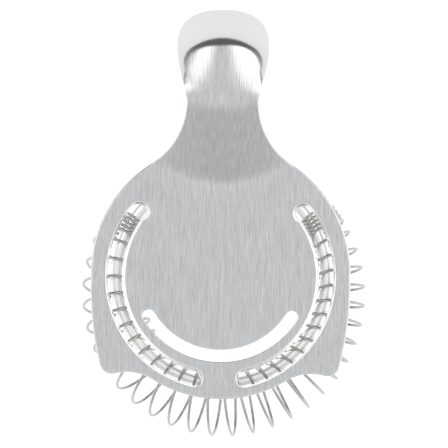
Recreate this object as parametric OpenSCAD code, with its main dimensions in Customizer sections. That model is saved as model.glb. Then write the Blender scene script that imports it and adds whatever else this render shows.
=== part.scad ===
// Hawthorne strainer: a bar strainer whose coil spring beds into a shaker tin.
// Millimetres. Origin: centre of the round plate, on its underside.
// +Y runs along the handle, +Z is up, and the nose points to -Y.

/* [Plate] */
// Radius of the plate's round edge, at the sides and by the neck
rim_r = 46.7; // [45:0.1:48]
// Radius of the nose edge
nose_r = 45.7; // [45:0.1:46.5]
// Thickness of the steel sheet
sheet_t = 1.2; // [0.8:0.1:1.5]
// Radius of the ears' outer corners
ear_corner_r = 4.5; // [3:0.1:6]
// Sideways place of the ear corners' centres
ear_corner_x = 38.6; // [37:0.1:39.5]
// Place of the ear corners' centres along the plate
ear_corner_y = -32.6; // [-34:0.1:-31]
// Sideways place of the shallow notch between each ear and the nose
notch_x = 33; // [32:0.1:34]

/* [Slots] */
// Middle radius of the two long slots
slot_r = 38; // [37.5:0.1:38.5]
// Width of the long slots
slot_w = 5.1; // [5:0.1:6]
// How far the long slots' centre lies from the plate's, towards the nose
slot_shift = 1.5; // [1:0.1:2]
// Angle from the nose to the lower end of each long slot
slot_start = 10.5; // [8:0.5:12]
// Angle from the nose to the middle of each slot's round upper end
slot_end = 126; // [122:0.5:128]
// Diameter of the round upper ends
slot_bulb_d = 5.6; // [5.2:0.1:6.5]
// Distance of the round upper ends from the plate's centre
bulb_r = 36.7; // [36:0.1:37.5]
// Inner radius of the crescent slot
crescent_in = 28; // [26:0.1:29]
// Outer radius of the crescent slot
crescent_out = 32.4; // [32:0.1:33]
// Angle from the nose to each end of the crescent slot
crescent_end = 62.3; // [40:0.1:65]

/* [Handle] */
// Half width of the neck
neck_hw = 12.95; // [11:0.1:15]
// Place of the neck's narrowest point
neck_y = 60.5; // [58:0.1:64]
// Half width of the handle at its widest
handle_hw = 17.05; // [15:0.05:20]
// Place of the handle's widest point
handle_y = 82; // [80:0.1:84]
// Place of the handle's tip
tip_y = 98; // [93:0.1:100]
// Slope of the neck, as rise over run
neck_slope = 0.42; // [0.2:0.01:0.5]
// Place of the bend where the neck leaves the plate
bend_low_y = 31.4; // [30:0.1:36]
// Place of the bend where the neck levels out
bend_high_y = 60; // [54:0.1:64]
// How strongly both bends curve back towards their sides
bend_bow = 0.015; // [0:0.005:0.04]
// Place of the end of the handle's flat face, where the tip turns down
face_y = 79.9; // [77:0.1:84]
// Half width of the handle's flat face
face_hw = 13.4; // [12.5:0.1:15]
// How much the handle's face falls away to its sides near the tip
face_crown = 0.018; // [0:0.001:0.02]
// Slope of the turned-down tip, as fall over run
tip_slope = 1.43; // [0.8:0.01:1.7]

/* [Ring] */
// Middle radius of the ring that carries the spring
ring_r = 38; // [37.8:0.1:38.2]
// Diameter of the ring's bar
ring_d = 4.8; // [3.5:0.1:4.8]
// How far the ring's centre lies from the plate's, towards the nose
ring_shift = 1.4; // [1.4:0.1:1.8]
// How far the ring's centre lies to the right
ring_side = 0.3; // [0:0.1:0.5]
// Height of the ring's centre, below the plate
ring_z = -6.15; // [-6.4:0.05:-6]
// Tilt of the ring: its nose hangs lower than its ends
ring_tilt = 4.6; // [4.5:0.1:4.8]
// Angle from the nose to each end of the ring
ring_end = 137; // [135:0.5:138]
// Diameter of the studs that hold the ring
stud_d = 2.2; // [1.8:0.1:2.4]
// Angle from the nose to each end stud
stud_end = 136; // [134:0.5:136]
// Sideways place of the nose stud, between two turns of the spring
nose_stud_x = -1.6; // [-1.8:0.1:-1.4]

/* [Spring] */
// Diameter of the spring's wire
wire_d = 1; // [0.8:0.05:1.05]
// Radius of each turn, to the middle of the wire
turn_r = 11.3; // [11.2:0.05:11.5]
// Radius of the circle that the turns stand on
coil_r = 39.8; // [39.5:0.1:40]
// How far the coil's centre lies from the plate's, towards the nose
coil_shift = 5.45; // [5.2:0.05:5.6]
// How far the coil lies to the right
coil_side = 0.7; // [0.4:0.05:0.9]
// Gap between the top of the spring and the plate
coil_gap = 0.3; // [0.2:0.05:0.5]
// Angle between turns at the nose
turn_pitch = 8.56; // [8.5:0.02:8.6]
// Angle between the close turns at the spring's ends
end_pitch = 2.15; // [2.1:0.05:2.3]
// How far the turns lean towards the nose, for each millimetre down
turn_lean = 0.115; // [0.05:0.005:0.12]
// How far the turns lean to the right, for each millimetre down
turn_side_lean = 0.05; // [0:0.01:0.06]

/* [Hidden] */

steel_brushed = [0.76, 0.77, 0.78];
steel_polished = [0.86, 0.86, 0.87];

// ---- small helpers --------------------------------------------------------

function arc(c, r, a0, a1, n) =
    [for (i = [0:n]) c + r * [cos(a0 + (a1 - a0) * i / n), sin(a0 + (a1 - a0) * i / n)]];
function angle_of(v) = atan2(v[1], v[0]);
function mirrored(p) = [for (i = [len(p) - 1:-1:0]) [-p[i][0], p[i][1]]];
function unit(v) = v / norm(v);
function mix(a, b, t) = a * (1 - t) + b * t;
function clamp01(t) = max(0, min(1, t));
// A point at an angle from the nose, positive to the right
function polar(r, a, shift = 0) = [r * sin(a), -r * cos(a) - shift];
// Zero below -w, a straight line of slope one above w, and smooth between
function ramp(v, w) = v < -w ? 0 : v > w ? v : (v + w) * (v + w) / (4 * w);

// ---- the plate's outline, all round arcs that meet smoothly ------------------

corner_c = [ear_corner_x, ear_corner_y];
side_top_y = -4;
side_gap = rim_r - corner_c[0] - ear_corner_r;
side_fall = side_top_y - corner_c[1];
// Radius of the long side arc that meets the rim upright and holds the corner
side_r = ear_corner_r + (side_gap * side_gap + side_fall * side_fall) / (2 * side_gap);
side_c = [rim_r - side_r, side_top_y];
// The notch circle touches the nose circle and the corner circle from outside
function notch_gap(y) =
    norm([notch_x, y]) - nose_r - (norm([notch_x, y] - corner_c) - ear_corner_r);
function notch_root(lo, hi, n = 30) =
    n == 0 ? (lo + hi) / 2
    : notch_gap((lo + hi) / 2) * notch_gap(hi) <= 0 ? notch_root((lo + hi) / 2, hi, n - 1)
    : notch_root(lo, (lo + hi) / 2, n - 1);
notch_c = [notch_x, notch_root(-90, -40)];
notch_r = norm(notch_c) - nose_r;
cut_y = 28;
seam = 0.4;

plate_half = concat(
    arc([0, 0], nose_r, -90, angle_of(notch_c), 24),
    arc(notch_c, notch_r, angle_of(-notch_c), angle_of(corner_c - notch_c), 10),
    arc(corner_c, ear_corner_r, angle_of(notch_c - corner_c), angle_of(corner_c - side_c), 12),
    arc(side_c, side_r, angle_of(corner_c - side_c), 0, 10),
    arc([0, 0], rim_r, 0, asin(cut_y / rim_r), 18));

// ---- the handle's half width along the handle --------------------------------

fillet_r = (neck_hw * neck_hw + neck_y * neck_y - rim_r * rim_r) / (2 * (rim_r - neck_hw));
fillet_c = [neck_hw + fillet_r, neck_y];
fillet_start_y = rim_r * unit(fillet_c)[1];
end_power = 2.8;
flare_power = 1.15;

function half_width(y) =
    y <= fillet_start_y ? sqrt(rim_r * rim_r - y * y)
    : y <= neck_y ? fillet_c[0] - sqrt(fillet_r * fillet_r - pow(y - neck_y, 2))
    : y <= handle_y ? mix(neck_hw, handle_hw,
                          pow(sin(90 * (y - neck_y) / (handle_y - neck_y)), flare_power))
    : handle_hw * pow(1 - pow((y - handle_y) / (tip_y - handle_y), end_power), 1 / end_power);

// ---- the sheet's height: two soft bends and an edge that turns down -----------

low_soft = 3;
high_soft = 5;
face_mid_y = 71;
face_len = face_y - face_mid_y;
face_power = 2.9;
edge_at_mid = half_width(face_mid_y) - face_hw;
bend_tight = 0.6;
bend_wide = 6;

// How far a point lies outside the handle's flat face
function beyond_face(x, y) =
    y <= neck_y ? 0
    : y <= face_mid_y
    ? max(0, abs(x) - half_width(y) + edge_at_mid * pow((y - neck_y) / (face_mid_y - neck_y), 2))
    : let (g = pow(pow(abs(x) / face_hw, face_power)
                   + pow((y - face_mid_y) / face_len, face_power), 1 / face_power))
      g > 1 ? norm([x, y - face_mid_y]) * (1 - 1 / g) : 0;
function turn_down(e, w) = e < w ? tip_slope * e * e / (2 * w) : tip_slope * (e - w / 2);
function crown(y) = face_crown * clamp01((y - bend_high_y) / (handle_y - bend_high_y));
function height(x, y) =
    neck_slope * (ramp(y - bend_low_y - bend_bow * x * x, low_soft)
                  - ramp(y - bend_high_y - bend_bow * x * x, high_soft))
    - crown(y) * x * x
    - turn_down(beyond_face(x, y),
                mix(bend_tight, bend_wide, clamp01((y - face_mid_y) / face_len)));

slope_step = 0.02;
function upright(x, y) =
    unit([height(x - slope_step, y) - height(x + slope_step, y),
          height(x, y - slope_step) - height(x, y + slope_step), 2 * slope_step]);
function skin(x, y, depth) =
    [x, y, sheet_t + height(x, y)] - depth * upright(x, y);

cols = 20;
neck_rows = 22;
tip_rows = 16;
tip_margin = 0.04;
row_y = concat(
    [for (i = [0:neck_rows - 1]) mix(cut_y - seam, face_mid_y, i / neck_rows)],
    [for (i = [0:tip_rows]) mix(face_mid_y, tip_y - tip_margin, sin(90 * i / tip_rows))]);
rows = len(row_y);
function col_u(j) = sin(90 * (2 * j / cols - 1));

module handle_sheet() {
    side = [for (depth = [0, sheet_t]) for (y = row_y) for (j = [0:cols])
            skin(col_u(j) * half_width(y), y, depth)];
    w = cols + 1;
    under = rows * w;
    function id(layer, i, j) = layer * under + i * w + j;
    top_faces = [for (i = [0:rows - 2]) for (j = [0:cols - 1]) each
                 [[id(0, i, j), id(0, i + 1, j), id(0, i + 1, j + 1)],
                  [id(0, i, j), id(0, i + 1, j + 1), id(0, i, j + 1)]]];
    low_faces = [for (i = [0:rows - 2]) for (j = [0:cols - 1]) each
                 [[id(1, i, j), id(1, i + 1, j + 1), id(1, i + 1, j)],
                  [id(1, i, j), id(1, i, j + 1), id(1, i + 1, j + 1)]]];
    end_faces = [for (j = [0:cols - 1]) each
                 [[id(0, 0, j), id(0, 0, j + 1), id(1, 0, j + 1)],
                  [id(0, 0, j), id(1, 0, j + 1), id(1, 0, j)],
                  [id(0, rows - 1, j), id(1, rows - 1, j + 1), id(0, rows - 1, j + 1)],
                  [id(0, rows - 1, j), id(1, rows - 1, j), id(1, rows - 1, j + 1)]]];
    side_faces = [for (i = [0:rows - 2]) each
                  [[id(0, i, 0), id(1, i + 1, 0), id(0, i + 1, 0)],
                   [id(0, i, 0), id(1, i, 0), id(1, i + 1, 0)],
                   [id(0, i, cols), id(0, i + 1, cols), id(1, i + 1, cols)],
                   [id(0, i, cols), id(1, i + 1, cols), id(1, i, cols)]]];
    polyhedron(side, concat(top_faces, low_faces, end_faces, side_faces));
}

// ---- slots -----------------------------------------------------------------

slot_nose_len = 2;
slot_steps = 40;
bulb_c = polar(bulb_r, slot_end);

module long_slot() {
    function end_cap(a0, n) = [for (i = [0:n])
        let (t = -90 + 180 * i / n)
        polar(slot_r + slot_w / 2 * sin(t), a0 - slot_nose_len / slot_r * 57.3 * cos(t), slot_shift)];
    polygon(concat(
        end_cap(slot_start + 3, 12),
        [for (i = [0:slot_steps])
            polar(slot_r + slot_w / 2, mix(slot_start + 3, slot_end, i / slot_steps), slot_shift)],
        [for (i = [slot_steps:-1:0])
            polar(slot_r - slot_w / 2, mix(slot_start + 3, slot_end, i / slot_steps), slot_shift)]));
    translate(bulb_c)
        circle(d = slot_bulb_d, $fn = 48);
}

module crescent_slot() {
    mid = (crescent_in + crescent_out) / 2;
    half = (crescent_out - crescent_in) / 2;
    cap = half / mid * 57.3;
    end = crescent_end - cap;
    polygon(concat(
        [for (i = [0:40]) polar(crescent_out, mix(-end, end, i / 40))],
        [for (i = [1:11]) polar(mid + half * cos(180 * i / 12), end + cap * sin(180 * i / 12))],
        [for (i = [40:-1:0]) polar(crescent_in, mix(-end, end, i / 40))],
        [for (i = [11:-1:1]) polar(mid + half * cos(180 * i / 12), -end - cap * sin(180 * i / 12))]));
}

module strainer_plate() {
    color(steel_brushed) union() {
        linear_extrude(sheet_t)
            difference() {
                polygon(concat(plate_half, mirrored(plate_half)));
                long_slot();
                mirror([1, 0]) long_slot();
                crescent_slot();
            }
        handle_sheet();
    }
}

// ---- ring and studs ------------------------------------------------------------

ring_c = [ring_side, -ring_shift];
// A point of the ring's middle line, in a direction seen from above
function ring_point(v) = [ring_c[0] + ring_r * v[0], ring_c[1] + ring_r * cos(ring_tilt) * v[1],
                          ring_z + ring_r * sin(ring_tilt) * v[1]];
// The ring's round tips are a touch thinner than its bar, and start inside it
tip_step = 0.03;
tip_overlap = 0.3;

module half_ball(d) {
    rotate_extrude($fn = 48)
        intersection() {
            circle(d = d, $fn = 48);
            square(d);
        }
}

module spring_ring() {
    color(steel_polished)
        translate([ring_c[0], ring_c[1], ring_z]) rotate([ring_tilt, 0, 0]) {
            rotate(-90 - ring_end)
                rotate_extrude(angle = 2 * ring_end, $fn = 120)
                    translate([ring_r, 0])
                        circle(d = ring_d, $fn = 48);
            for (s = [-1, 1])
                translate([s * ring_r * sin(ring_end), -ring_r * cos(ring_end), 0])
                    rotate([0, 0, s * ring_end])
                        rotate([0, s * 90, 0])
                            translate([0, 0, -tip_overlap])
                                half_ball(ring_d - 2 * tip_step);
        }
}

// An upright stud from the middle of the ring's bar to the plate's underside
module stud(x, y) {
    low = ring_z + tan(ring_tilt) * (y - ring_c[1]);
    color(steel_polished)
        translate([x, y, low])
            cylinder(h = -low, d = stud_d, $fn = 32);
}

module ring_stud_nose() {
    stud(nose_stud_x, ring_point([0, -1])[1]);
}

module end_stud(side) {
    foot = ring_point(polar(1, side * stud_end));
    stud(foot[0], foot[1]);
}

module ring_stud_left() {
    end_stud(-1);
}

module ring_stud_right() {
    end_stud(1);
}

// ---- coil spring ------------------------------------------------------------------

wire_r = wire_d / 2;
coil_z = -coil_gap - wire_r - turn_r;
coil_c = [coil_side, -coil_shift];
// Turn 0 is the first left of the nose; turns get a little closer to the right
nose_turn = -4.6;
pitch_change = -0.03;
left_close = -12.75;
right_close = 15.6;
first_turn = -17.5;
last_turn = 20.2;
hook_turns = 1.1;
hook_gap = 0.2;
hook_r = ring_d / 2 + wire_r + hook_gap;
rings_per_turn = 18;
wire_sides = 6;

function open_angle(k) = nose_turn + turn_pitch * k + pitch_change * k * k;
function turn_angle(k) =
    k < left_close ? open_angle(left_close) + end_pitch * (k - left_close)
    : k > right_close ? open_angle(right_close) + end_pitch * (k - right_close)
    : open_angle(k);
// From 0 on the open coil to 1 where the end of the wire closes onto the ring
function closing(k) =
    let (t = clamp01(max(first_turn + hook_turns - k, k - last_turn + hook_turns) / hook_turns))
    t * t * (3 - 2 * t);
function turn_middle(k) =
    let (a = turn_angle(k),
         open = coil_c + coil_r * [sin(a), -cos(a)],
         tight = ring_point(unit(open - ring_c)))
    mix([open[0], open[1], coil_z], tight, closing(k));
function outward(k) = [sin(turn_angle(k)), -cos(turn_angle(k)), 0];
// The wire climbs over the ring, runs outward, down, and back in under it
function spoke(k) = outward(k) * cos(360 * k) + [0, 0, -sin(360 * k)];
function lean(k) =
    (1 - closing(k)) * turn_r * (1 + sin(360 * k)) * [turn_side_lean, -turn_lean, 0];
function wire_point(k) =
    turn_middle(k) + mix(turn_r, hook_r, closing(k)) * spoke(k) + lean(k);

wire_rings = round((last_turn - first_turn) * rings_per_turn);
function ring_turn(i) = mix(first_turn, last_turn, i / wire_rings);

module coil_spring() {
    step = 0.01;
    points = [for (i = [0:wire_rings])
        let (k = ring_turn(i),
             t = unit(wire_point(k + step) - wire_point(k - step)),
             b = unit(cross(t, spoke(k))),
             n = cross(b, t))
        for (j = [0:wire_sides - 1])
            wire_point(k) + wire_r * (cos(360 * j / wire_sides) * n + sin(360 * j / wire_sides) * b)];
    walls = [for (i = [0:wire_rings - 1]) for (j = [0:wire_sides - 1])
        let (a = i * wire_sides + j, b = i * wire_sides + (j + 1) % wire_sides)
        each [[a, b + wire_sides, b], [a, a + wire_sides, b + wire_sides]]];
    caps = [[for (j = [0:wire_sides - 1]) j],
            [for (j = [wire_sides - 1:-1:0]) wire_rings * wire_sides + j]];
    color(steel_polished)
        polyhedron(points, concat(walls, caps));
}

strainer_plate();
spring_ring();
ring_stud_nose();
ring_stud_left();
ring_stud_right();
coil_spring();
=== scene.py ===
"""Hawthorne strainer: brushed plate and handle, polished ring, coil spring, on a white studio floor."""
import math

import bpy
from mathutils import Matrix, Vector
from mathutils.geometry import delaunay_2d_cdt


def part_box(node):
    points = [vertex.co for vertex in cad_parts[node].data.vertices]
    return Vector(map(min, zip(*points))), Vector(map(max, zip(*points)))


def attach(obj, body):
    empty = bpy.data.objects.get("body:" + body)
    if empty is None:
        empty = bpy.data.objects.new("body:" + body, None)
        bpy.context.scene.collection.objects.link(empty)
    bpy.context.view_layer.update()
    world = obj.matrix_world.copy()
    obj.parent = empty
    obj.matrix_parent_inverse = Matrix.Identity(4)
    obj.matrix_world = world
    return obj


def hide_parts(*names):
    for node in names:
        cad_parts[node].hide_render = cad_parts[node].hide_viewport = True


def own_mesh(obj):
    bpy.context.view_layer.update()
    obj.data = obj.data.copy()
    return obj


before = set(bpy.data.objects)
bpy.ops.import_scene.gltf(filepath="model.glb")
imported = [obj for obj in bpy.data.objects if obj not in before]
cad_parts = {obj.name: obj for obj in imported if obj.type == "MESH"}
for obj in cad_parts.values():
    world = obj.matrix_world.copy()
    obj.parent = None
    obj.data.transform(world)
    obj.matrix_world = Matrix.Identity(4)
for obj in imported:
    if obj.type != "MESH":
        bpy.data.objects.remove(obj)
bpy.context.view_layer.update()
MM = 0.001


# ---- sizes, in millimetres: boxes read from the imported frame, most others as in part.scad ---

def box_mm(node):
    lo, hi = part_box(node)
    return [c / MM for c in lo], [c / MM for c in hi]


PLATE_LO, PLATE_HI = box_mm("strainer_plate")
RING_LO, RING_HI = box_mm("spring_ring")
COIL_LOW_Z = box_mm("coil_spring")[0][2]

# the plate's outline, and how its edges are rounded
RIM_R = (PLATE_HI[0] - PLATE_LO[0]) / 2
NOSE_R = -PLATE_LO[1]
TIP_Y = 98.0
SHEET_T = 1.2
EDGE_R = 0.5
CRESCENT_EDGE_R = 0.3
# the long slots' edges roll down from the top: how wide outside and inside, and how deep
LIP_OUT, LIP_IN, LIP_DEEP = 0.7, 1.05, 1.05

# ears, notches and sides
EAR_C = (38.6, -32.6)
EAR_R = 4.5
NOTCH_X = 33.0
SIDE_TOP_Y = -4.0

# the long slots and the crescent slot: angles are degrees from the nose
SLOT_R = 38.0
SLOT_W = 5.1
SLOT_SHIFT = 1.5
SLOT_START = 10.5
SLOT_END = 126.0
SLOT_NOSE_ANGLE = 3
SLOT_NOSE_LENGTH = 2.0
BULB_R = 2.8
BULB_FAR = 36.7
CRESCENT_IN = 28.0
CRESCENT_OUT = 32.4
CRESCENT_END = 62.3

# the neck and the handle: half widths, places along Y, slopes and bends
NECK_HW = 12.95
NECK_Y = 60.5
HANDLE_HW = 17.05
HANDLE_Y = 82.0
NECK_SLOPE = 0.42
BEND_LOW_Y = 31.4
BEND_HIGH_Y = 60.0
BEND_BOW = 0.015
LOW_SOFT = 3.0
HIGH_SOFT = 5.0
FACE_Y = 79.9
FACE_HW = 13.4
FACE_MID_Y = 71.0
FACE_POWER = 2.9
FACE_CROWN = 0.018
TIP_SLOPE = 1.43
BEND_TIGHT = 0.6
BEND_WIDE = 6.0
END_POWER = 2.8
FLARE_POWER = 1.15

# the ring
RING_BAR_R = 2.4
RING_R = (RING_HI[0] - RING_LO[0]) / 2 - RING_BAR_R
RING_C = ((RING_HI[0] + RING_LO[0]) / 2, -1.4, -6.15)
RING_TILT = math.radians(4.6)
RING_END = 137.0

# the coil: its turns are numbered from the one nearest the nose
# the wire is a little thicker than the solid's
WIRE_R = 0.52
CAD_WIRE_R = 0.5
TURN_R = 11.3
COIL_GAP = 0.3
COIL_Z = -COIL_GAP - CAD_WIRE_R - TURN_R
COIL_R = 39.8
COIL_C = (0.7, -5.45)
# how far a turn leans for each millimetre down from its top
TURN_LEAN = Vector((0.05, -0.115, 0))
# how far the coil's nose is pushed back, and the place that stays where it is
NOSE_TURN = -4.6
TURN_PITCH = 8.56
PITCH_CHANGE = -0.03
END_PITCH = 2.15
LEFT_CLOSE, RIGHT_CLOSE = -12.75, 15.6
FIRST_TURN, LAST_TURN = -17.5, 20.2
HOOK_TURNS = 1.1
HOOK_GAP = 0.2
HOOK_R = RING_BAR_R + WIRE_R + HOOK_GAP


# ---- small helpers ------------------------------------------------------------------------

def mix(a, b, t):
    return a * (1 - t) + b * t


def clamp01(t):
    return max(0.0, min(1.0, t))


def smooth(t):
    t = clamp01(t)
    return t * t * (3 - 2 * t)


def polar(r, degrees, shift=0.0):
    """A point at an angle from the nose, positive to the right."""
    a = math.radians(degrees)
    return (r * math.sin(a), -r * math.cos(a) - shift)


def arc(c, r, a0, a1, step=1.0):
    n = max(4, int(abs(a1 - a0) * r / step))
    return [(c[0] + r * math.cos(mix(a0, a1, i / n)), c[1] + r * math.sin(mix(a0, a1, i / n)))
            for i in range(n + 1)]


def angle_to(a, b):
    return math.atan2(b[1] - a[1], b[0] - a[0])


def new_object(name, verts, faces, body, material):
    """A smooth-shaded mesh object in metres, riding on a CAD body."""
    mesh = bpy.data.meshes.new(name)
    mesh.from_pydata([tuple(c * MM for c in v) for v in verts], [], faces)
    mesh.validate()
    mesh.shade_smooth()
    mesh.materials.append(material)
    obj = bpy.data.objects.new(name, mesh)
    bpy.context.scene.collection.objects.link(obj)
    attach(obj, body)
    return obj


# ---- the plate's outline and height -----------------------------------------------------------

SIDE_GAP = RIM_R - EAR_C[0] - EAR_R
SIDE_FALL = SIDE_TOP_Y - EAR_C[1]
SIDE_R = EAR_R + (SIDE_GAP ** 2 + SIDE_FALL ** 2) / (2 * SIDE_GAP)
SIDE_C = (RIM_R - SIDE_R, SIDE_TOP_Y)


def notch_centre():
    """The circle between nose and ear corner that touches both from outside."""
    lo, hi = -90.0, -40.0

    def gap(y):
        to_ear = math.hypot(NOTCH_X - EAR_C[0], y - EAR_C[1])
        return math.hypot(NOTCH_X, y) - NOSE_R - (to_ear - EAR_R)

    for _ in range(40):
        mid = (lo + hi) / 2
        if gap(mid) * gap(hi) <= 0:
            lo = mid
        else:
            hi = mid
    return (NOTCH_X, (lo + hi) / 2)


NOTCH_C = notch_centre()
NOTCH_R = math.hypot(*NOTCH_C) - NOSE_R
FILLET_R = (NECK_HW ** 2 + NECK_Y ** 2 - RIM_R ** 2) / (2 * (RIM_R - NECK_HW))
FILLET_C = (NECK_HW + FILLET_R, NECK_Y)
FILLET_START_Y = RIM_R * FILLET_C[1] / math.hypot(*FILLET_C)


def half_width(y):
    if y <= FILLET_START_Y:
        return math.sqrt(RIM_R ** 2 - y * y)
    if y <= NECK_Y:
        return FILLET_C[0] - math.sqrt(FILLET_R ** 2 - (y - NECK_Y) ** 2)
    if y <= HANDLE_Y:
        t = (y - NECK_Y) / (HANDLE_Y - NECK_Y)
        return mix(NECK_HW, HANDLE_HW, math.sin(math.pi / 2 * t) ** FLARE_POWER)
    t = min(1.0, (y - HANDLE_Y) / (TIP_Y - HANDLE_Y))
    return HANDLE_HW * (1 - t ** END_POWER) ** (1 / END_POWER)


def ramp(v, w):
    """Zero below -w, a straight line of slope one above w, and smooth between."""
    if v < -w:
        return 0.0
    return v if v > w else (v + w) ** 2 / (4 * w)


def beyond_face(x, y):
    """How far a point lies outside the handle's flat face."""
    if y <= NECK_Y:
        return 0.0
    if y <= FACE_MID_Y:
        inset = half_width(FACE_MID_Y) - FACE_HW
        return max(0.0, abs(x) - half_width(y)
                   + inset * ((y - NECK_Y) / (FACE_MID_Y - NECK_Y)) ** 2)
    g = ((abs(x) / FACE_HW) ** FACE_POWER
         + ((y - FACE_MID_Y) / (FACE_Y - FACE_MID_Y)) ** FACE_POWER) ** (1 / FACE_POWER)
    return math.hypot(x, y - FACE_MID_Y) * (1 - 1 / g) if g > 1 else 0.0


def height(x, y):
    bow = BEND_BOW * x * x
    rise = NECK_SLOPE * (ramp(y - BEND_LOW_Y - bow, LOW_SOFT)
                         - ramp(y - BEND_HIGH_Y - bow, HIGH_SOFT))
    e = beyond_face(x, y)
    w = mix(BEND_TIGHT, BEND_WIDE, clamp01((y - FACE_MID_Y) / (FACE_Y - FACE_MID_Y)))
    fall = TIP_SLOPE * (e * e / (2 * w) if e < w else e - w / 2)
    crown = FACE_CROWN * clamp01((y - BEND_HIGH_Y) / (HANDLE_Y - BEND_HIGH_Y))
    return rise - fall - crown * x * x


def on_sheet(x, y, up):
    """A point of the bent sheet: a place in plan, and a height through its thickness."""
    d = 0.02
    n = Vector((height(x - d, y) - height(x + d, y), height(x, y - d) - height(x, y + d), 2 * d))
    n.normalize()
    return Vector((x, y, SHEET_T + height(x, y))) - (SHEET_T - up) * n


# ---- plate mesh --------------------------------------------------------------------------------

def outer_loop():
    """The right half from the nose to the tip, then its mirror image."""
    half = arc((0, 0), NOSE_R, -math.pi / 2, angle_to((0, 0), NOTCH_C))
    half += arc(NOTCH_C, NOTCH_R, angle_to(NOTCH_C, (0, 0)), angle_to(NOTCH_C, EAR_C))[1:]
    half += arc(EAR_C, EAR_R, angle_to(EAR_C, NOTCH_C), angle_to(SIDE_C, EAR_C), 0.5)[1:]
    half += arc(SIDE_C, SIDE_R, angle_to(SIDE_C, EAR_C), 0)[1:]
    half += arc((0, 0), RIM_R, 0, math.asin(FILLET_START_Y / RIM_R))[1:]
    steps = 42
    for i in range(1, steps + 1):
        y = mix(FILLET_START_Y, HANDLE_Y, i / steps)
        half.append((half_width(y), y))
    steps = 26
    for i in range(1, steps + 1):
        a = math.pi / 2 * i / steps
        c, s = math.cos(a) ** (2 / END_POWER), math.sin(a) ** (2 / END_POWER)
        half.append((HANDLE_HW * c if i < steps else 0.0, HANDLE_Y + (TIP_Y - HANDLE_Y) * s))
    return half + [(-x, y) for x, y in reversed(half[1:-1])]


def long_slot_loop(side):
    """A long slot with a blunt nose end and a round upper end."""
    nose_len = math.degrees(SLOT_NOSE_LENGTH / SLOT_R)
    a0 = SLOT_START + SLOT_NOSE_ANGLE
    bulb = polar(BULB_FAR, SLOT_END)
    cap_steps, side_steps = 16, 80
    cap = []
    for i in range(cap_steps + 1):
        t = math.radians(-90 + 180 * i / cap_steps)
        cap.append(polar(SLOT_R + SLOT_W / 2 * math.sin(t), a0 - nose_len * math.cos(t), SLOT_SHIFT))
    angles = [mix(a0, SLOT_END, i / side_steps) for i in range(1, side_steps + 1)]
    outer = [polar(SLOT_R + SLOT_W / 2, a, SLOT_SHIFT) for a in angles]
    inner = [polar(SLOT_R - SLOT_W / 2, a, SLOT_SHIFT) for a in angles]

    def clear(p):
        return math.dist(p, bulb) >= BULB_R

    outer = [p for p in outer if clear(p)]
    inner = [p for p in inner if clear(p)]
    a_out, a_in = angle_to(bulb, outer[-1]), angle_to(bulb, inner[-1])
    if a_in < a_out:
        a_in += 2 * math.pi
    round_end = arc(bulb, BULB_R, a_out, a_in, 0.7)[1:-1]
    loop = cap + outer + round_end + inner[::-1]
    return [(side * x, y) for x, y in loop]


def crescent_loop():
    """The crescent slot, with round ends."""
    mid, half = (CRESCENT_IN + CRESCENT_OUT) / 2, (CRESCENT_OUT - CRESCENT_IN) / 2
    cap = math.degrees(half / mid)
    end = CRESCENT_END - cap
    side_steps, cap_steps = 60, 14
    loop = [polar(CRESCENT_OUT, mix(-end, end, i / side_steps)) for i in range(side_steps + 1)]
    for i in range(1, cap_steps):
        t = math.pi * i / cap_steps
        loop.append(polar(mid + half * math.cos(t), end + cap * math.sin(t)))
    loop += [polar(CRESCENT_IN, mix(end, -end, i / side_steps)) for i in range(side_steps + 1)]
    for i in range(1, cap_steps):
        t = math.pi * i / cap_steps
        loop.append(polar(mid - half * math.cos(t), -end - cap * math.sin(t)))
    return loop


def signed_area(loop):
    return sum(a[0] * b[1] - b[0] * a[1] for a, b in zip(loop, loop[1:] + loop[:1])) / 2


def lip_width(p):
    """How wide the rolled edge is at a point of a long slot."""
    far = math.hypot(p[0], p[1] + SLOT_SHIFT) - SLOT_R
    return mix(LIP_IN, LIP_OUT, smooth(far / SLOT_W + 0.5))


def inset(loop, distances):
    """The loop moved sideways into the sheet, to its left as it runs."""
    moved = []
    for i, p in enumerate(loop):
        a, b = Vector(loop[i - 1]), Vector(loop[(i + 1) % len(loop)])
        t0, t1 = (Vector(p) - a).normalized(), (b - Vector(p)).normalized()
        n0, n1 = Vector((-t0.y, t0.x)), Vector((-t1.y, t1.x))
        n = (n0 + n1).normalized()
        n *= distances[i] / max(0.5, n.dot(n1))
        moved.append((p[0] + n.x, p[1] + n.y))
    return moved


def inside(p, loop):
    odd = False
    x, y = p
    for (x0, y0), (x1, y1) in zip(loop, loop[1:] + loop[:1]):
        if (y0 > y) != (y1 > y) and x < (x1 - x0) * (y - y0) / (y1 - y0) + x0:
            odd = not odd
    return odd


def near(p, loops, distance):
    return any(abs(q[0] - p[0]) < distance and abs(q[1] - p[1]) < distance
               and math.dist(p, q) < distance for loop in loops for q in loop)


# rows of points across the plate: from, to and how far apart
GRID_BANDS = ((-44, 26, 6.0), (28, 68, 1.4), (68, TIP_Y, 0.8))
GRID_STAGGER, GRID_MARGIN = 0.25, 0.6
SUPPORT = 0.2
# how far the long slots' rolled lips and the other rounded edges lose their grain and are mixed towards
# a lighter colour, a painted highlight
SLOT_POLISH_AND_HIGHLIGHT, EDGE_POLISH_AND_HIGHLIGHT = 1.0, 0.35
BRUSHING_FADE = 2.5


def grid_points(loops):
    """Points inside the sheet: close together where it bends, far apart where it is flat."""
    points = []
    for y0, y1, step in GRID_BANDS:
        rows = int((y1 - y0) / step)
        for i in range(rows):
            y = y0 + (i + 0.5) * step
            cols = int(2 * RIM_R / step)
            for j in range(cols + 1):
                p = ((j - cols / 2 + GRID_STAGGER * (-1) ** i) * step, y)
                if inside(p, loops[0]) and not any(inside(p, h) for h in loops[1:]):
                    if not near(p, loops, GRID_MARGIN * step):
                        points.append(p)
    return points


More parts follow.
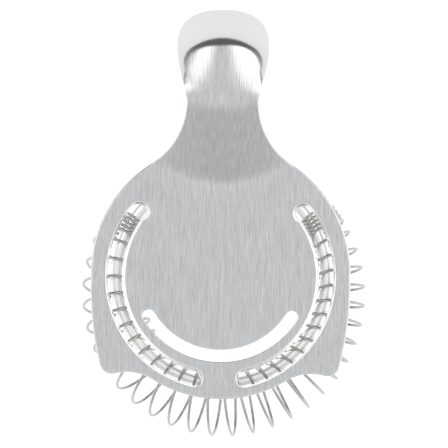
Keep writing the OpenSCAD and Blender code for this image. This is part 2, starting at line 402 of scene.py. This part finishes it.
def build_plate(material):
    """The bent sheet: two flat-meshed faces joined by rounded and rolled edges."""
    loops = [outer_loop(), long_slot_loop(1), long_slot_loop(-1), crescent_loop()]
    loops = [l if signed_area(l) > 0 else l[::-1] for l in loops]
    loops = loops[:1] + [h[::-1] for h in loops[1:]]
    lips = [[EDGE_R] * len(loops[0])] + [[lip_width(p) for p in l] for l in loops[1:3]]
    lips.append([CRESCENT_EDGE_R] * len(loops[3]))
    flat_loops = [inset(l, [w + SUPPORT for w in lip]) for l, lip in zip(loops, lips)]

    # the top and bottom faces share one triangulation
    points, edges = [], []
    for l in flat_loops:
        start = len(points)
        points += l
        edges += [(start + i, start + (i + 1) % len(l)) for i in range(len(l))]
    points += grid_points(flat_loops)
    out = delaunay_2d_cdt([Vector(p) for p in points], edges, [], 0, 1e-6)
    plan, triangles, origin = [tuple(v) for v in out[0]], out[2], out[3]

    def keep(t):
        c = (sum(plan[i][0] for i in t) / 3, sum(plan[i][1] for i in t) / 3)
        return inside(c, flat_loops[0]) and not any(inside(c, h) for h in flat_loops[1:])

    triangles = [t for t in triangles if keep(t)]
    place = {}
    for i, sources in enumerate(origin):
        for s in sources:
            place[s] = i

    verts = [on_sheet(x, y, SHEET_T) for x, y in plan] + [on_sheet(x, y, 0) for x, y in plan]
    under = len(plan)
    faces = [tuple(t) for t in triangles] + [tuple(under + i for i in reversed(t)) for t in triangles]

    # rounded edges: rings of points from the top face, round the edge, to the bottom face
    turns = 6
    quarter = [(1 - math.sin(math.pi / 2 * i / turns), 1 - math.cos(math.pi / 2 * i / turns))
               for i in range(turns + 1)]
    rolled = [(1, 0), (0.94, 0.02), (0.84, 0.11), (0.7, 0.27), (0.35, 0.67), (0.08, 0.97), (0, 1)]
    start = 0
    # per edge point: how much grain goes and how much painted highlight colour comes in
    polish = {}
    for index, (l, lip) in enumerate(zip(loops, lips)):
        n = len(l)
        long_slot = index in (1, 2)
        deep = LIP_DEEP if long_slot else lip[0]
        profile = [(o, SHEET_T - deep * h, lip) for o, h in (rolled if long_slot else quarter)]
        low = (SHEET_T - deep) * 0.5
        profile += [(o * low, h * low, [1] * n) for o, h in reversed(quarter)]
        for i in range(len(verts), len(verts) + n * len(profile)):
            polish[i] = SLOT_POLISH_AND_HIGHLIGHT if long_slot else EDGE_POLISH_AND_HIGHLIGHT
        rings = [[place[start + i] for i in range(n)]]
        for o, h, width in profile:
            ring_points = inset(l, [o * w for w in width])
            rings.append([len(verts) + i for i in range(n)])
            verts += [on_sheet(x, y, h) for x, y in ring_points]
        rings.append([under + place[start + i] for i in range(n)])
        for a, b in zip(rings, rings[1:]):
            faces += [(a[i], b[i], b[(i + 1) % n], a[(i + 1) % n]) for i in range(n)]
        start += n

    obj = new_object("plate_and_handle", verts, faces, "plate", material)
    brushed = obj.data.attributes.new("brushed", "FLOAT", "POINT")
    rim = obj.data.attributes.new("rim", "FLOAT", "POINT")
    for i, v in enumerate(verts):
        rim.data[i].value = polish.get(i, 0.0)
        brushed.data[i].value = 1 - max(rim.data[i].value, smooth(beyond_face(v.x, v.y) / BRUSHING_FADE))
    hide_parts("strainer_plate")


# ---- round bars and wires -------------------------------------------------------------------------

def sweep(points, normals, radii, sides):
    """A closed tube through the points, with a round section of the given radii."""
    verts, faces = [], []
    last = len(points) - 1
    for i, p in enumerate(points):
        t = (points[min(i + 1, last)] - points[max(i - 1, 0)]).normalized()
        b = t.cross(normals[i]).normalized()
        n = b.cross(t)
        for j in range(sides):
            a = 2 * math.pi * j / sides
            verts.append(p + radii[i] * (math.cos(a) * n + math.sin(a) * b))
    for i in range(last):
        for j in range(sides):
            k = (j + 1) % sides
            faces.append((i * sides + j, i * sides + k, (i + 1) * sides + k, (i + 1) * sides + j))
    faces.append(tuple(reversed(range(sides))))
    faces.append(tuple(last * sides + j for j in range(sides)))
    return verts, faces


def ring_point(v):
    """A point of the ring's middle line, in a direction seen from above."""
    return Vector((RING_C[0] + RING_R * v[0], RING_C[1] + RING_R * math.cos(RING_TILT) * v[1],
                   RING_C[2] + RING_R * math.sin(RING_TILT) * v[1]))


def build_ring(material):
    """The C-shaped bar with round ends."""
    points, radii = [], []
    cap_steps, body_steps, sides = 10, 150, 40
    smallest_r = 0.05
    cap_angle = math.degrees(RING_BAR_R / RING_R)
    stations = []
    for i in range(cap_steps):
        t = math.pi / 2 * i / cap_steps
        stations.append((-RING_END - cap_angle * math.cos(t), RING_BAR_R * math.sin(t)))
    stations += [(mix(-RING_END, RING_END, i / body_steps), RING_BAR_R)
                 for i in range(body_steps + 1)]
    stations += [(-a, r) for a, r in reversed(stations[:cap_steps])]
    for a, r in stations:
        points.append(ring_point(polar(1, a)))
        radii.append(max(r, smallest_r))
    verts, faces = sweep(points, [Vector((0, 0, 1))] * len(points), radii, sides)
    obj = new_object("carrier_ring", verts, faces, "plate", material)
    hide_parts("spring_ring")


def turn_angle(k):
    """Where turn k is, in degrees from the nose."""
    near_k = max(LEFT_CLOSE, min(RIGHT_CLOSE, k))
    return NOSE_TURN + TURN_PITCH * near_k + PITCH_CHANGE * near_k ** 2 + END_PITCH * (k - near_k)


def closing(k):
    """0 along the coil, rising to 1 at its ends, where it closes onto the ring."""
    return smooth(max(FIRST_TURN + HOOK_TURNS - k, k - LAST_TURN + HOOK_TURNS) / HOOK_TURNS)


def turn_middle(k):
    x, y = polar(COIL_R, turn_angle(k))
    x, y = x + COIL_C[0], y + COIL_C[1]
    far = math.hypot(x - RING_C[0], y - RING_C[1])
    on_ring = ring_point(((x - RING_C[0]) / far, (y - RING_C[1]) / far))
    return Vector((x, y, COIL_Z)).lerp(on_ring, closing(k))


def spoke(k):
    a, turn = math.radians(turn_angle(k)), 2 * math.pi * k
    return Vector((math.sin(a) * math.cos(turn), -math.cos(a) * math.cos(turn), -math.sin(turn)))


def wire_point(k):
    lean = (1 - closing(k)) * TURN_R * (1 + math.sin(2 * math.pi * k)) * TURN_LEAN
    return turn_middle(k) + mix(TURN_R, HOOK_R, closing(k)) * spoke(k) + lean


def build_coil(material):
    """The wire, its hooked ends closing onto the ring."""
    per_turn, sides = 40, 12
    cut_end = 0.7
    count = round((LAST_TURN - FIRST_TURN) * per_turn)
    ks = [mix(FIRST_TURN, LAST_TURN, i / count) for i in range(count + 1)]
    radii = [WIRE_R] * (count + 1)
    radii[0] = radii[-1] = WIRE_R * cut_end
    verts, faces = sweep([wire_point(k) for k in ks], [spoke(k) for k in ks], radii, sides)
    obj = new_object("spring_wire", verts, faces, "spring", material)
    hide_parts("coil_spring")
    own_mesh(obj)


# ---- materials ------------------------------------------------------------------------------------

# what the noise textures mostly stay between
NOISE = (0.3, 0.7)
# grain scales across the handle, along it and through the sheet
FINE_GRAIN, BROAD_GRAIN = (3200, 170, 400), (900, 60, 200)
DARK_STEEL, LIGHT_STEEL = (0.50, 0.51, 0.52, 1), (0.74, 0.75, 0.76, 1)
# the lighter colour given to the rounded edges: a painted highlight
PAINTED_EDGE_HIGHLIGHT = (0.93, 0.93, 0.93, 1)


def new_material(name, color, roughness):
    mat = bpy.data.materials.new(name)
    mat.use_nodes = True
    tree = mat.node_tree
    shader = tree.nodes["Principled BSDF"]
    shader.inputs["Base Color"].default_value = (*color, 1)
    shader.inputs["Metallic"].default_value = 1.0
    shader.inputs["Roughness"].default_value = roughness
    return mat, tree, shader


def add(tree, kind, **settings):
    node = tree.nodes.new(kind)
    for key, value in settings.items():
        if key in node.inputs:
            node.inputs[key].default_value = value
        else:
            setattr(node, key, value)
    return node


def stretched_noise(tree, scale, detail, roughness=0.5):
    """Noise in the object's own space, drawn out where a scale is small."""
    coords = add(tree, "ShaderNodeTexCoord")
    mapping = add(tree, "ShaderNodeMapping")
    mapping.inputs["Scale"].default_value = scale
    tree.links.new(coords.outputs["Object"], mapping.inputs["Vector"])
    noise = add(tree, "ShaderNodeTexNoise", Scale=1.0, Detail=detail, Roughness=roughness)
    tree.links.new(mapping.outputs["Vector"], noise.inputs["Vector"])
    return noise.outputs["Fac"]


def map_range(tree, value, lo, hi, to_lo, to_hi):
    node = add(tree, "ShaderNodeMapRange")
    node.inputs["From Min"].default_value = lo
    node.inputs["From Max"].default_value = hi
    node.inputs["To Min"].default_value = to_lo
    node.inputs["To Max"].default_value = to_hi
    tree.links.new(value, node.inputs["Value"])
    return node.outputs["Result"]


def multiply(tree, a, b):
    node = add(tree, "ShaderNodeMath", operation="MULTIPLY")
    tree.links.new(a, node.inputs[0])
    tree.links.new(b, node.inputs[1])
    return node.outputs["Value"]


def brushed_steel():
    """Grain along the handle, fading where the sheet curls; the rounded edges lose their grain and are
    painted lighter, a painted highlight.
    """
    mat, tree, shader = new_material("brushed_steel", (0.62, 0.63, 0.64), 0.3)
    fine = stretched_noise(tree, FINE_GRAIN, 2, 0.6)
    broad = stretched_noise(tree, BROAD_GRAIN, 2)
    mask = add(tree, "ShaderNodeAttribute", attribute_name="brushed").outputs["Fac"]

    shade = add(tree, "ShaderNodeMath", operation="ADD")
    tree.links.new(map_range(tree, fine, *NOISE, -0.075, 0.075), shade.inputs[0])
    tree.links.new(map_range(tree, broad, *NOISE, -0.01, 0.01), shade.inputs[1])
    masked = multiply(tree, shade.outputs["Value"], mask)
    tint = add(tree, "ShaderNodeMixRGB", blend_type="MIX")
    tint.inputs["Color1"].default_value = DARK_STEEL
    tint.inputs["Color2"].default_value = LIGHT_STEEL
    tree.links.new(map_range(tree, masked, -0.1, 0.1, 0.0, 1.0), tint.inputs["Fac"])
    # the edges mixed towards a lighter colour: a painted highlight
    edge = add(tree, "ShaderNodeMixRGB", blend_type="MIX")
    rim = add(tree, "ShaderNodeAttribute", attribute_name="rim").outputs["Fac"]
    tree.links.new(rim, edge.inputs["Fac"])
    tree.links.new(tint.outputs["Color"], edge.inputs["Color1"])
    edge.inputs["Color2"].default_value = PAINTED_EDGE_HIGHLIGHT
    tree.links.new(edge.outputs["Color"], shader.inputs["Base Color"])

    tree.links.new(map_range(tree, mask, 0, 1, 0.2, 0.22), shader.inputs["Roughness"])

    bump = add(tree, "ShaderNodeBump", Distance=0.00004)
    tree.links.new(multiply(tree, fine, mask), bump.inputs["Height"])
    bump.inputs["Strength"].default_value = 0.5
    tree.links.new(bump.outputs["Normal"], shader.inputs["Normal"])
    return mat


def polished_steel():
    """Bright bar with a slightly uneven polish."""
    mat, tree, shader = new_material("polished_steel", (0.92, 0.915, 0.9), 0.2)
    cloud = stretched_noise(tree, (220, 220, 220), 3)
    tree.links.new(map_range(tree, cloud, *NOISE, 0.17, 0.25), shader.inputs["Roughness"])
    return mat


def spring_wire():
    """Bright drawn wire, darker than the bar."""
    mat, tree, shader = new_material("spring_wire", (0.5, 0.49, 0.48), 0.2)
    drawn = stretched_noise(tree, (900, 900, 900), 2)
    tree.links.new(map_range(tree, drawn, *NOISE, 0.14, 0.3), shader.inputs["Roughness"])
    return mat


# ---- the studio -------------------------------------------------------------------------------------

CAMERA_TILT = math.radians(7)
CAMERA_ROLL = math.radians(0.67)
CAMERA_FAR = 1.0
PHOTO_PIXELS, MM_PER_PIXEL = 448, 0.36
VIEW_WIDTH = PHOTO_PIXELS * MM_PER_PIXEL * MM
SENSOR = 36
AIM = Vector((1.0, 17.4, 0.6)) * MM
FLOOR_HALF = 3.0
DIMMEST_SKY = 0.15


def build_camera():
    """A long lens, tilted a little towards the nose's side."""
    data = bpy.data.cameras.new("camera")
    data.sensor_width = SENSOR
    data.lens = SENSOR * CAMERA_FAR / VIEW_WIDTH
    data.clip_end = 10
    camera = bpy.data.objects.new("camera", data)
    back = Vector((0, -math.sin(CAMERA_TILT), math.cos(CAMERA_TILT)))
    camera.location = AIM + back * CAMERA_FAR
    turn = Matrix.Rotation(CAMERA_ROLL, 4, back)
    camera.rotation_euler = (turn @ Matrix.Rotation(CAMERA_TILT, 4, "X")).to_euler()
    bpy.context.scene.collection.objects.link(camera)
    bpy.context.scene.camera = camera


def build_floor():
    """A white floor, level with the coil's lowest point, that glows so that no shadow shows."""
    mesh = bpy.data.meshes.new("floor")
    w, z = FLOOR_HALF, COIL_LOW_Z * MM
    mesh.from_pydata([(-w, -w, z), (w, -w, z), (w, w, z), (-w, w, z)], [], [(0, 1, 2, 3)])
    mat = bpy.data.materials.new("white_floor")
    mat.use_nodes = True
    shader = mat.node_tree.nodes["Principled BSDF"]
    shader.inputs["Base Color"].default_value = (0.3, 0.3, 0.3, 1)
    shader.inputs["Roughness"].default_value = 0.9
    shader.inputs["Emission Color"].default_value = (1, 1, 1, 1)
    shader.inputs["Emission Strength"].default_value = 0.95
    mesh.materials.append(mat)
    floor = bpy.data.objects.new("floor", mesh)
    bpy.context.scene.collection.objects.link(floor)


def toward(side, tilt):
    """A direction tilted from straight up towards a compass side, in degrees (0 is +Y, 90 is +X)."""
    s, t = math.radians(side), math.radians(tilt)
    return (math.sin(t) * math.sin(s), math.sin(t) * math.cos(s), math.cos(t))


def sky_patch(tree, view, side, tilt, inner, outer, amount):
    """A soft round patch of brighter or darker sky."""
    dot = add(tree, "ShaderNodeVectorMath", operation="DOT_PRODUCT")
    tree.links.new(view, dot.inputs[0])
    dot.inputs[1].default_value = toward(side, tilt)
    patch = add(tree, "ShaderNodeMapRange", interpolation_type="SMOOTHSTEP")
    patch.inputs["From Min"].default_value = math.cos(math.radians(outer))
    patch.inputs["From Max"].default_value = math.cos(math.radians(inner))
    patch.inputs["To Max"].default_value = amount
    tree.links.new(dot.outputs["Value"], patch.inputs["Value"])
    return patch.outputs["Result"]


def build_world():
    """A white light tent: bright side walls, a softbox at each side overhead and a darker back."""
    world = bpy.data.worlds.new("studio")
    world.use_nodes = True
    tree = world.node_tree
    view = add(tree, "ShaderNodeTexCoord").outputs["Generated"]
    total = None
    for patch in SKY:
        value = sky_patch(tree, view, *patch)
        if total is None:
            total = value
        else:
            plus = add(tree, "ShaderNodeMath", operation="ADD")
            tree.links.new(total, plus.inputs[0])
            tree.links.new(value, plus.inputs[1])
            total = plus.outputs["Value"]
    dimmest = add(tree, "ShaderNodeMath", operation="MAXIMUM")
    tree.links.new(total, dimmest.inputs[0])
    dimmest.inputs[1].default_value = DIMMEST_SKY
    background = tree.nodes["Background"]
    background.inputs["Color"].default_value = (1, 1, 1, 1)
    tree.links.new(dimmest.outputs["Value"], background.inputs["Strength"])
    bpy.context.scene.world = world


# side, tilt, inner and outer radius in degrees, and how much light it adds
SKY = (
    (0, 0, 179, 180, 0.82),
    (180, 12, 4, 16, 0.1),
    (180, 60, 15, 45, -0.19),
    (-90, 80, 20, 50, 0.25),
    (90, 80, 20, 50, 0.25),
    (-57, 27, 8, 12, 1.3),
    (56, 32, 14, 19, 1.2),
    (0, 55, 22, 42, -0.72),
    (-45, 75, 12, 32, -0.6),
    (45, 75, 12, 32, -0.6),
)


def main():
    build_camera()
    build_floor()
    build_world()
    steel, bright, wire = brushed_steel(), polished_steel(), spring_wire()
    build_plate(steel)
    build_ring(bright)
    build_coil(wire)
    for stud in ("ring_stud_nose", "ring_stud_left", "ring_stud_right"):
        node = bpy.data.objects[stud]
        node.data.materials.clear()
        node.data.materials.append(bright)
    bpy.context.scene.view_settings.view_transform = "Standard"


main()
